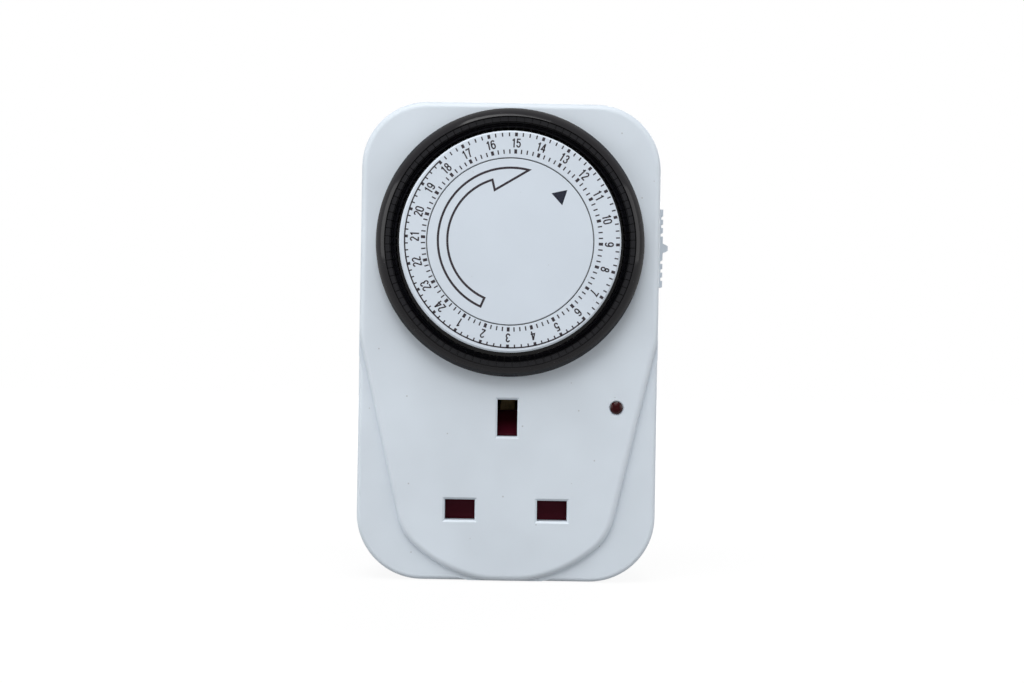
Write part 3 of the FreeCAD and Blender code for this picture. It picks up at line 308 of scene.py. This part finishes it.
pin_brass = metal("pin_brass", (0.74, 0.57, 0.29), (0.60, 0.45, 0.21), roughness=0.22)
# The contacts' brass is much darker than the pins': painted shade for their place deep behind
# the slots
strip_brass = metal("contact_brass", (0.34, 0.25, 0.12), (0.18, 0.13, 0.065),
                    roughness=0.42, lines=along_z)
zinc = metal("zinc_plated_steel", (0.66, 0.66, 0.68), (0.50, 0.50, 0.50),
             roughness=0.30, lines=all_ways)
bright_steel = metal("bright_steel", (0.62, 0.62, 0.63), (0.48, 0.47, 0.46), roughness=0.24)
stamped_steel = metal("stamped_steel", (0.58, 0.58, 0.58), (0.44, 0.43, 0.42),
                      roughness=0.34, lines=along_x)
tinned = metal("tinned_wire", (0.66, 0.66, 0.64), (0.52, 0.51, 0.48), roughness=0.28)
print("metals are ready, materials so far:", len(bpy.data.materials))

# %% [markdown]
# ## The indicator's lens, the lamp and the resistor
# The lens is dark red clear plastic. From outside it looks nearly black with a red glow
# where the light goes through, and its flanks catch the lamps. A little transmission does
# the first, and a coat that grows towards the flanks does the second. The lamp behind it is
# plain glass, and the resistor is a brown lacquered rod.

# %% Lens, glass and lacquer
haze_size = 1.2 * MM
haze_swing = 0.08
flank_span = (0.10, 0.45)


def clear_material(name, colour, roughness, transmission, cloud, shine, coat):
    finish = Finish(name)
    haze = finish.noise(haze_size)
    facing = finish.node("ShaderNodeLayerWeight", {}, {"Blend": 0.5}, "Facing")
    return finish.surface(
        Base_Color=finish.mix(haze.between(*noise_span), shade(colour, 1 - cloud), colour),
        Roughness=haze * haze_swing + roughness, Transmission_Weight=transmission, IOR=1.49,
        Specular_IOR_Level=shine, Coat_Weight=facing.between(*flank_span) * coat,
        Coat_Roughness=0.03)


lens_red = clear_material("lens_dark_red", (0.034, 0.0015, 0.003), roughness=0.08,
                          transmission=0.1, cloud=0.25, shine=0.03, coat=1.0)
lamp_glass = clear_material("lamp_glass", (0.92, 0.90, 0.88), roughness=0.04,
                            transmission=0.9, cloud=0.05, shine=0.5, coat=0.2)
lacquer = plastic("resistor_lacquer", (0.22, 0.10, 0.045), roughness=0.3, cloud=0.15)
print("lens, glass and lacquer made")

# %% [markdown]
# ## Dressing the CAD pieces
# Each CAD piece keeps its mesh and gets a finish in its material slot. One table says
# which finish goes with which pieces, so that it reads like a parts list.

# %% Give every CAD piece its finish
parts_list = {
    casing: ["front_cover", "rear_cover", "override_slider"],
    rim_black: ["dial_rim"],
    charcoal: [f"tappets_hour_{hour:02d}" for hour in range(1, 25)],
    disc_white: ["number_ring", "centre_disc"],
    natural: ["dial_hub", "follower_lever"],
    acetal: ["idler_gear", "switch_plunger"],
    maroon: ["shutter"],
    phenolic: ["switch_case", "contact_carrier"],
    sleeve: ["pin_sleeves"],
    insulation: ["motor_leads"],
    pin_brass: ["line_pin", "neutral_pin", "earth_pin", "motor_pinion"],
    strip_brass: ["line_contact", "neutral_contact", "earth_contact", "live_bar",
                  "bridge_contact", "switch_terminals"],
    zinc: ["case_screws", "movement_screws"],
    bright_steel: ["idler_arbor", "lever_pin", "shutter_spring"],
    stamped_steel: ["movement_plate", "motor_can"],
    tinned: ["lamp_leads"],
    lens_red: ["indicator_lens"],
    lamp_glass: ["neon_lamp"],
    lacquer: ["lamp_resistor"],
}
for material, names in parts_list.items():
    for name in names:
        for slot in nodes[name].material_slots:
            slot.material = material
undressed = set(nodes) - {name for names in parts_list.values() for name in names}
print("pieces without a finish:", sorted(undressed))

# %% [markdown]
# ## New pieces
# The spring and the print are made here and not in CAD. Both are built as loose points and
# faces, and one helper turns those into an object with a finish. It also says which moving
# body the piece rides on, so that it turns or slides with it.

# %% Turn points and faces into a piece
def add_piece(name, made, material, body):
    bmesh.ops.recalc_face_normals(made, faces=made.faces)
    mesh = bpy.data.meshes.new(name)
    made.to_mesh(mesh)
    made.free()
    piece = bpy.data.objects.new(name, mesh)
    bpy.context.collection.objects.link(piece)
    mesh.materials.append(material)
    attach(piece, body)
    return piece


print("new pieces can be made")

# %% [markdown]
# ## The shutter's spring
# The spring under the shutter shortens when a plug's earth pin drives the shutter down. A
# CAD piece can't change its shape, so a coil of round wire stands for it here, wound by a
# formula between the same two seats: a ring of points is carried up around the middle.

# %% Wind the spring
spring_low, spring_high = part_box("shutter_spring")
spring_middle = (spring_low + spring_high) / 2
wire_radius = 0.3 * MM
coil_radius = (spring_high.x - spring_low.x) / 2 - wire_radius
coil_height = spring_high.z - spring_low.z - 2 * wire_radius
coil_turns = 6
steps_a_turn = 28
coil_steps = coil_turns * steps_a_turn
wire_sides = 10

coil = bmesh.new()
rings = []
for step in range(coil_steps + 1):
    turned = 2 * math.pi * step / steps_a_turn
    outward = Vector((math.cos(turned), math.sin(turned), 0.0))
    centre = spring_middle + outward * coil_radius
    centre.z = spring_low.z + wire_radius + coil_height * step / coil_steps
    ring = []
    for side in range(wire_sides):
        round_wire = 2 * math.pi * side / wire_sides
        upward = Vector((0.0, 0.0, math.sin(round_wire)))
        towards = outward * math.cos(round_wire) + upward
        ring.append(coil.verts.new(centre + towards * wire_radius))
    rings.append(ring)
for lower, upper in zip(rings, rings[1:]):
    for side in range(wire_sides):
        after = (side + 1) % wire_sides
        coil.faces.new((lower[side], lower[after], upper[after], upper[side])).smooth = True
coil.faces.new(rings[0])
coil.faces.new(rings[-1])
spring = add_piece("coil_spring", coil, bright_steel, "case")
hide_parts("shutter_spring")
print("coil's radius in mm:", round(coil_radius / MM, 2))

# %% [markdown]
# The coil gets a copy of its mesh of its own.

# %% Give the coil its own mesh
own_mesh(spring)

# %% [markdown]
# ## Printing the dial
# The hours, the quarter-hour marks, the arrow and the pointer are printed in dark ink.
# Ink has almost no height, but real geometry keeps its edges sharp at any distance, so
# each mark is a very thin plate on the face. The face's place comes from the frame.
# Angles run clockwise from the top, as a watchmaker would give them. On the real dial the
# print stands a few tenths of a millimetre off the middle, and so it does here.

# %% Where the dial is, and how a mark is printed
ring_low, ring_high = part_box("number_ring")
axis_x = (ring_low.x + ring_high.x) / 2
axis_z = (ring_low.z + ring_high.z) / 2
face_y = ring_low.y
ink_height = 0.012 * MM
ring_shift = (0.40 * MM, 0.26 * MM)
disc_shift = (0.06 * MM, 0.28 * MM)


def print_outlines(name, outlines, body, material, shift=(0.0, 0.0), depth=0.0):
    # Each outline becomes a thin plate of ink, on the dial's face or a depth below it
    across, up = axis_x + shift[0], axis_z + shift[1]
    level = face_y + depth
    made = bmesh.new()
    for outline in outlines:
        front = [made.verts.new((across + x, level - ink_height, up + z)) for x, z in outline]
        back = [made.verts.new((across + x, level, up + z)) for x, z in outline]
        made.faces.new(front)
        made.faces.new(back[::-1])
        for index in range(len(outline)):
            following = (index + 1) % len(outline)
            made.faces.new((front[following], front[index], back[index], back[following]))
    return add_piece(name, made, material, body)


print("dial's radius in mm:", round((ring_high.x - ring_low.x) / 2 / MM, 2))

# %% [markdown]
# Nearly all of the print is lines of even width, as from a ruling pen. A line is a row of
# points, straight or along an arc, and a ribbon of plates follows it. At a corner the
# ribbon's edges are mitred, like the mouldings of a picture frame.

# %% Lines of even width
arc_step = 2.0
longest_mitre = 4.0


def on_dial(angle, radius):
    # A place on the dial, as across and up from its axis
    turn = math.radians(angle)
    return radius * math.sin(turn), radius * math.cos(turn)


def arc_points(start, end, radius):
    # Places along an arc of the dial, no more than a step apart
    count = max(1, math.ceil(abs(end - start) / arc_step))
    angles = [start + (end - start) * index / count for index in range(count + 1)]
    return [on_dial(angle, radius) for angle in angles]


def ribbon(points, width, closed=False):
    places = [Vector(point) for point in points]
    if closed:
        places = places[-1:] + places + places[:1]
    else:
        places = [2 * places[0] - places[1]] + places + [2 * places[-1] - places[-2]]
    edges = []
    for before, here, after in zip(places, places[1:], places[2:]):
        into = (here - before).normalized()
        along = (into + (after - here).normalized()).normalized()
        mitre = 1 / max(along.dot(into), 1 / longest_mitre)
        side = Vector((-along.y, along.x)) * (width / 2 * mitre)
        edges.append((here - side, here + side))
    if closed:
        edges.append(edges[0])
    return [[tuple(a), tuple(c), tuple(d), tuple(b)]
            for (a, b), (c, d) in zip(edges, edges[1:])]


def bar(angle, inner, outer, width):
    # A straight mark that points at the axis
    return ribbon([on_dial(angle, inner), on_dial(angle, outer)], width)


print("drawing tools ready")

# %% [markdown]
# The ink is nearly black with a warm cast. Under a lens it is a little uneven, so a fine
# noise makes it lighter here and there. The painted shade in the dial's groove is made the same
# way.

# %% Ink
ink_speck_size = 0.25 * MM
ink_speck_span = (0.45, 0.8)
ink_lightest = 1.8
ink_roughness = 0.5
ink_swing = 0.1
ink_shine = 0.1


def ink_finish(name, colour):
    finish = Finish(name)
    speck = finish.noise(ink_speck_size)
    tint = finish.mix(speck.between(*ink_speck_span), colour, shade(colour, ink_lightest))
    rough = speck * ink_swing + ink_roughness
    return finish.surface(Base_Color=tint, Roughness=rough, Specular_IOR_Level=ink_shine)


ink = ink_finish("dial_ink", (0.038, 0.032, 0.038))
pointer_ink = ink_finish("pointer_ink", (0.018, 0.020, 0.032))
# A dark grey that is painted shade for the groove's floor
groove_painted_shade = ink_finish("groove_painted_shade", (0.16, 0.165, 0.17))
print("inks are ready, materials so far:", len(bpy.data.materials))

# %% [markdown]
# Between the number ring and the centre disc runs a fine groove, which shows as a dark line
# in the photograph. Here that line is painted shade: an even band of dark grey plates on the
# groove's floor, so it turns with the ring.

# %% The dark line in the groove
disc_low, disc_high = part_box("centre_disc")
disc_radius = (disc_high.x - disc_low.x) / 2
groove_width = 0.28 * MM
groove_depth = 0.35 * MM
groove_clearance = 0.01 * MM
groove_middle = disc_radius + groove_clearance + groove_width / 2
groove_ring = arc_points(0, 360 - arc_step, groove_middle)
# These plates are painted shade, which darkens the groove's line
film = ribbon(groove_ring, groove_width, closed=True)
print_outlines("groove_shade_film", film, "dial", groove_painted_shade, depth=groove_depth)
print("centre disc's radius in mm:", round(disc_radius / MM, 2))

# %% [markdown]
# Every quarter of an hour has a mark near the rim and one near the centre disc. The marks
# on the hour are wider. The night hours, from 18 through 24 to 6, also have a fine line
# along the outer marks. In the photograph the dial is set so that 15 is nearly at the top.

# %% Quarter-hour marks and the night line
hours = 24
quarters = 4
hour_step = 360.0 / hours
top_hour = 15
top_hour_angle = 1.45
quarter_width = 0.31 * MM
hour_width = 0.68 * MM
outer_marks = (24.66 * MM, 25.56 * MM)
inner_marks = (20.56 * MM, 21.58 * MM)
night_starts, night_ends = 18, hours + 6
night_radius = 25.42 * MM
night_width = 0.34 * MM


def hour_angle(hour):
    return top_hour_angle + (top_hour - hour) * hour_step


marks = []
for quarter in range(hours * quarters):
    angle = top_hour_angle + quarter * hour_step / quarters
    width = hour_width if quarter % quarters == 0 else quarter_width
    marks += bar(angle, *outer_marks, width) + bar(angle, *inner_marks, width)
print_outlines("quarter_marks", marks, "dial", ink, ring_shift)
night_arc = arc_points(hour_angle(night_ends), hour_angle(night_starts), night_radius)
print_outlines("night_line", ribbon(night_arc, night_width), "dial", ink, ring_shift)
print("marks printed:", len(marks))

# %% [markdown]
# The hours run anticlockwise, because the dial turns clockwise past the pointer. Their
# tops face outwards. The real figures are a narrow, even-stroked sanserif. Each figure is
# drawn here as a pen would draw it: one or two lines of even width, in a box one unit
# high. Bows are parts of ellipses, with angles clockwise from the top as on the dial.

# %% The figures 0 to 9
bow_steps = 12
loop_step = 15


def bow(x, y, wide, high, start, end, steps=bow_steps):
    turns = [math.radians(start + (end - start) * index / steps) for index in range(steps + 1)]
    return [(x + wide * math.sin(turn), y + high * math.cos(turn)) for turn in turns]


def loop(x, y, wide, high):
    # A whole ellipse, without its last point, because the ribbon closes it
    return bow(x, y, wide, high, 0, 360 - loop_step, 360 // loop_step - 1)


half = 0.19
top = 0.435
six = [(loop(0.0, -0.165, half, 0.27), True),
       ([(-half, -0.165)] + bow(0.0, 0.195, half, 0.24, -90, 62), False)]
figures = {
    "0": [(bow(0.0, 0.215, half, 0.22, -90, 90) + bow(0.0, -0.215, half, 0.22, 90, 270), True)],
    "1": [([(0.07, -0.5), (0.07, 0.5)], False),
          ([(-0.13, 0.29), (0.0, 0.32), (0.07, 0.42)], False)],
    "2": [(bow(0.0, 0.225, 0.18, 0.21, -82, 105) + [(-0.17, -0.41)], False),
          ([(-0.22, -top), (0.24, -top)], False)],
    "3": [(bow(-0.01, 0.225, 0.17, 0.21, -80, 170), False),
          (bow(-0.01, -0.205, half, 0.23, 0, 262), False)],
    "4": [([(0.10, -0.5), (0.10, 0.5)], False),
          ([(0.07, 0.44), (-0.19, -0.19), (0.24, -0.19)], False)],
    "5": [([(0.21, top), (-0.12, top), (-0.16, 0.0)], False),
          (bow(0.0, -0.155, half, 0.28, -58, 258), False)],
    "6": six,
    "7": [([(-0.23, top), (0.19, top), (0.05, 0.05), (-0.06, -0.5)], False)],
    "8": [(loop(0.0, 0.23, 0.16, 0.205), True), (loop(0.0, -0.205, half, 0.23), True)],
    "9": [([(-x, -y) for x, y in points], closed) for points, closed in six],
}
print("figures drawn:", len(figures))

# %% [markdown]
# Two figures stand close together, and the pair is centred on its hour. The unit box is
# scaled to the height of the print and turned to the hour's angle.

# %% The numbers 1 to 24
figure_height = 2.12 * MM
figure_stroke = 0.33 * MM
figure_step = 0.56
number_radius = 23.08 * MM


def figure_ribbons(symbol, shift, angle):
    turn = Matrix.Rotation(-math.radians(angle), 2)
    middle = Vector(on_dial(angle, number_radius))
    ribbons = []
    for points, closed in figures[symbol]:
        placed = [middle + turn @ Vector((x + shift, y)) * figure_height for x, y in points]
        ribbons += ribbon(placed, figure_stroke, closed)
    return ribbons


number_ribbons = []
for hour in range(1, hours + 1):
    symbols = str(hour)
    for place, symbol in enumerate(symbols):
        shift = (place - (len(symbols) - 1) / 2) * figure_step
        number_ribbons += figure_ribbons(symbol, shift, hour_angle(hour))
print_outlines("hour_numbers", number_ribbons, "dial", ink, ring_shift)
print("plates in the numbers:", len(number_ribbons))

# %% [markdown]
# The centre disc stands still. Its outlined arrow shows which way the dial turns. It is
# one closed line: two arcs, the square tail, the barb and the head's long edge.

# %% The arrow
line_width = 0.54 * MM
arrow_outer = 17.2 * MM
arrow_inner = 14.96 * MM
barb_radius = 12.5 * MM
barb_angle = 341.7
neck_angle = 342.4
tail_angle = 203.5
head_angle = 373.8

outline = arc_points(tail_angle, head_angle, arrow_outer)
outline += [on_dial(barb_angle, barb_radius)]
outline += arc_points(neck_angle, tail_angle, arrow_inner)
arrow = ribbon(outline, line_width, closed=True)
print_outlines("turning_arrow", arrow, "case", ink, disc_shift)
print("arrow plates:", len(arrow))

# %% [markdown]
# The solid triangle beside it is the pointer, where the present time is read. It is drawn
# pointing up and then turned to its place.

# %% The pointer
pointer_angle = 47.5
pointer_tip = 18.0 * MM
pointer_base = 14.65 * MM
pointer_half = 1.92 * MM

turn = Matrix.Rotation(-math.radians(pointer_angle), 2)
corners = ((0.0, pointer_tip), (-pointer_half, pointer_base), (pointer_half, pointer_base))
triangle = [tuple(turn @ Vector(corner)) for corner in corners]
print_outlines("time_pointer", [triangle], "case", pointer_ink, disc_shift)
print("pointer's height in mm:", round((pointer_tip - pointer_base) / MM, 2))

# %% [markdown]
# ## Camera
# The photograph was taken from straight in front. Its scale at the front panel is 4.16
# pixels to the millimetre, and the whole timer leans by about one degree. The camera
# stands at a distance where the raised dial looks as much larger as it does there, and it
# aims at the place on the panel that is in the middle of the photograph. Blender takes the
# lens and the width of its sensor in millimetres.

# %% Camera
image_width = 1024
pixels_per_mm = 4.16
camera_distance = 465 * MM
sensor_width = 36.0
lean = math.radians(0.97)
aim_across = 0.82 * MM
aim_up = 40.65 * MM
panel_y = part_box("front_cover")[0].y

camera_data = bpy.data.cameras.new("camera")
camera_data.sensor_width = sensor_width
view_width = image_width / pixels_per_mm * MM
camera_data.lens = sensor_width * camera_distance / view_width
camera = bpy.data.objects.new("camera", camera_data)
bpy.context.collection.objects.link(camera)
camera.location = (aim_across, panel_y - camera_distance, aim_up)
level_view = Matrix.Rotation(math.radians(90), 3, "X")
camera.rotation_euler = (level_view @ Matrix.Rotation(lean, 3, "Z")).to_euler()
bpy.context.scene.camera = camera
print("lens in mm:", round(camera_data.lens, 1))

# %% [markdown]
# ## White without glare
# The photograph's background is pure white, while the light that reaches the timer is much
# plainer. A Light Path node tells which kind of ray asks. Rays that the camera sees, also
# in a shine or through glass, get white, and the others get a plain level.

# %% What the camera sees
white = (1.0, 1.0, 1.0)
seen_rays = ("Is Camera Ray", "Is Glossy Ray", "Is Transmission Ray")


def seen(graph):
    # 1 for a ray that the camera sees, and 0 for any other
    rays = [graph.node("ShaderNodeLightPath", {}, {}, kind) for kind in seen_rays]
    return rays[0].larger(rays[1]).larger(rays[2])


print("kinds of rays that see white:", len(seen_rays))

# %% [markdown]
# ## Floor
# The timer stands on a pale floor that looks white. Near the timer a fifth of the floor's
# own shading is mixed in, which keeps a faint shadow, and further out it fades to plain
# white.

# %% Floor
floor_half = 1.5
floor_gap = 0.2 * MM
floor_level = cad_low.z - floor_gap
floor_grey = (0.34, 0.34, 0.34)
floor_glow = 1.14
shadow_share = 0.2
shadow_full = 0.12
shadow_gone = 0.6

floor_mesh = bpy.data.meshes.new("floor")
sides = [(-floor_half, -floor_half), (floor_half, -floor_half),
         (floor_half, floor_half), (-floor_half, floor_half)]
floor_mesh.from_pydata([(x, y, floor_level) for x, y in sides], [], [(0, 1, 2, 3)])
floor = bpy.data.objects.new("floor", floor_mesh)
bpy.context.collection.objects.link(floor)

floor_finish = Finish("floor_white")
floor_mesh.materials.append(floor_finish.surface(Base_Color=floor_grey, Roughness=0.9))
shading = Flow(floor_finish, floor_finish.shader.outputs[0])
glow = floor_finish.node("ShaderNodeEmission", {}, {"Color": white, "Strength": floor_glow})
distance = floor_finish.node(
    "ShaderNodeVectorMath", {"operation": "LENGTH"}, {0: floor_finish.place()}, "Value")
shadow = distance.between(shadow_gone, shadow_full) * shadow_share
glow_share = seen(floor_finish) * (1 - shadow)
mixed = floor_finish.node("ShaderNodeMixShader", {}, {0: glow_share, 1: shading, 2: glow})
floor_finish.feed(floor_finish.tree.nodes["Material Output"], {"Surface": mixed})
print("floor level in mm:", round(floor_level / MM, 2))

# %% [markdown]
# ## World
# The world is white to the camera as well. What it sends to the timer is a low, even light,
# which fills the shadows a little.

# %% World
fill_strength = 0.28

world = bpy.data.worlds.new("studio")
bpy.context.scene.world = world
world.use_nodes = True
sky = Graph(world.node_tree)
sky.feed(sky.tree.nodes["Background"], {"Color": white, "Strength": fill_strength})
fill = Flow(sky, sky.tree.nodes["Background"].outputs[0])
backdrop = sky.node("ShaderNodeBackground", {}, {"Color": white, "Strength": 1.0})
mixed = sky.node("ShaderNodeMixShader", {}, {0: seen(sky), 1: fill, 2: backdrop})
sky.feed(sky.tree.nodes["World Output"], {"Surface": mixed})
print("world light:", fill_strength)

# %% [markdown]
# ## Lamps
# The light is that of a product photograph. A large soft lamp hangs above and in front, two
# more stand at the sides and draw the bright lines on the rim, and one behind lifts the
# back. All aim at the front panel.

# %% Lamps
lamps = {
    "top_lamp": {"place": (-0.10, -0.56, 0.88), "size": (0.7, 0.85), "power": 8.9},
    "left_lamp": {"place": (-0.80, -0.40, 0.14), "size": (0.7, 0.8), "power": 4.3},
    "right_lamp": {"place": (0.80, -0.40, 0.14), "size": (0.7, 0.8), "power": 2.95},
    "back_lamp": {"place": (0.25, 0.95, 0.22), "size": (0.8, 0.7), "power": 6.0},
}
lamp_target = Vector((0.0, panel_y, aim_up))


def soft_lamp(name, place, size, power):
    data = bpy.data.lights.new(name, "AREA")
    data.shape = "RECTANGLE"
    data.size, data.size_y = size
    data.energy = power
    lamp = bpy.data.objects.new(name, data)
    bpy.context.collection.objects.link(lamp)
    lamp.location = place
    lamp.rotation_euler = (lamp_target - Vector(place)).to_track_quat("-Z", "Y").to_euler()


for name, values in lamps.items():
    soft_lamp(name, **values)
bpy.context.scene.view_settings.view_transform = "Standard"
print("lamps placed:", len(lamps))
